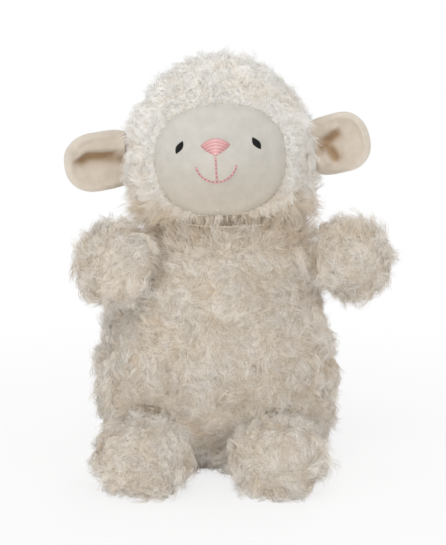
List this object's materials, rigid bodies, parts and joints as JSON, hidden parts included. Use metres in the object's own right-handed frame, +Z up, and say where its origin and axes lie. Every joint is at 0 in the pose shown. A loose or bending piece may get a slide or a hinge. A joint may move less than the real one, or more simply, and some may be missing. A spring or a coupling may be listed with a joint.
{
  "type": "bean bag plush lamb",
  "caption": "Sitting plush lamb with a weighted seat, curly long-pile body, smooth face and ears, embroidered features, and limbs, head and ears that turn at their seams.",
  "frame": {"origin": "on the surface that the toy sits on, where the line across the widest part of the flat seat crosses its middle", "axes": "+Z up; the lamb faces -Y; +X is the lamb's own left"},
  "size_m": [0.1559, 0.1278, 0.1985],
  "materials": {
    "curly_fur": "long curly pile, cream with tan depths",
    "velour": "short smooth pile, off-white",
    "fibre_fill": "loose white polyester fibre",
    "pouch_cloth": "thin plain-woven lining",
    "pellets": "small smooth translucent-white beads",
    "black_thread": "satin-stitched embroidery thread, slightly glossy",
    "pink_thread": "embroidery thread, soft pink, slightly glossy",
    "sewing_thread": "strong twisted sewing thread, cream"
  },
  "bodies": {
    "torso": {"torso_front_panel": "curly_fur", "torso_back_left_panel": "curly_fur", "torso_back_right_panel": "curly_fur", "base_panel": "curly_fur", "torso_stuffing": "fibre_fill", "bean_pouch": "pouch_cloth", "bean_pellets": "pellets"},
    "neck": {"neck_thread": "sewing_thread"},
    "head": {"hood_left_panel": "curly_fur", "hood_right_panel": "curly_fur", "face_panel": "velour", "head_stuffing": "fibre_fill", "eye_left_stitching": "black_thread", "eye_right_stitching": "black_thread", "nose_stitching": "pink_thread", "philtrum_stitching": "pink_thread", "smile_stitching": "pink_thread"},
    "arm_left": {"arm_left_front_panel": "curly_fur", "arm_left_back_panel": "curly_fur", "arm_left_stuffing": "fibre_fill"},
    "arm_right": {"arm_right_front_panel": "curly_fur", "arm_right_back_panel": "curly_fur", "arm_right_stuffing": "fibre_fill"},
    "leg_left": {"leg_left_lower_panel": "curly_fur", "leg_left_upper_panel": "curly_fur", "leg_left_stuffing": "fibre_fill"},
    "leg_right": {"leg_right_lower_panel": "curly_fur", "leg_right_upper_panel": "curly_fur", "leg_right_stuffing": "fibre_fill"},
    "ear_left": {"ear_left_front_panel": "velour", "ear_left_back_panel": "velour"},
    "ear_right": {"ear_right_front_panel": "velour", "ear_right_back_panel": "velour"}
  },
  "joints": [
    {"name": "head_turn", "type": "hinge", "parent": "torso", "child": "neck", "pos_m": [0.005, 0, 0.095], "axis": [0, 0, 1], "range_deg": [-20, 20]},
    {"name": "head_nod", "type": "hinge", "parent": "neck", "child": "head", "pos_m": [0.005, 0, 0.095], "axis": [1, 0, 0], "range_deg": [-10, 8]},
    {"name": "arm_left_swing", "type": "hinge", "parent": "torso", "child": "arm_left", "pos_m": [0.036, -0.002, 0.097], "axis": [-0.1564, -0.9877, 0], "range_deg": [-20, 10]},
    {"name": "arm_right_swing", "type": "hinge", "parent": "torso", "child": "arm_right", "pos_m": [-0.036, -0.002, 0.097], "axis": [-0.9272, 0.3746, 0], "range_deg": [-20, 2]},
    {"name": "leg_left_swing", "type": "hinge", "parent": "torso", "child": "leg_left", "pos_m": [0.03, -0.02729, 0.021], "axis": [-0.9986, 0.0523, 0], "range_deg": [-10, 20]},
    {"name": "leg_right_swing", "type": "hinge", "parent": "torso", "child": "leg_right", "pos_m": [-0.03, -0.02729, 0.021], "axis": [-0.9925, 0.1219, 0], "range_deg": [-10, 20]},
    {"name": "ear_left_fold", "type": "hinge", "parent": "head", "child": "ear_left", "pos_m": [0.04981, 0.0016, 0.1542], "axis": [-0.2056, 0.1176, 0.9715], "range_deg": [-25, 25]},
    {"name": "ear_right_fold", "type": "hinge", "parent": "head", "child": "ear_right", "pos_m": [-0.04627, 0.00663, 0.14832], "axis": [0.1084, -0.0628, -0.9921], "range_deg": [-25, 25]}
  ]
}
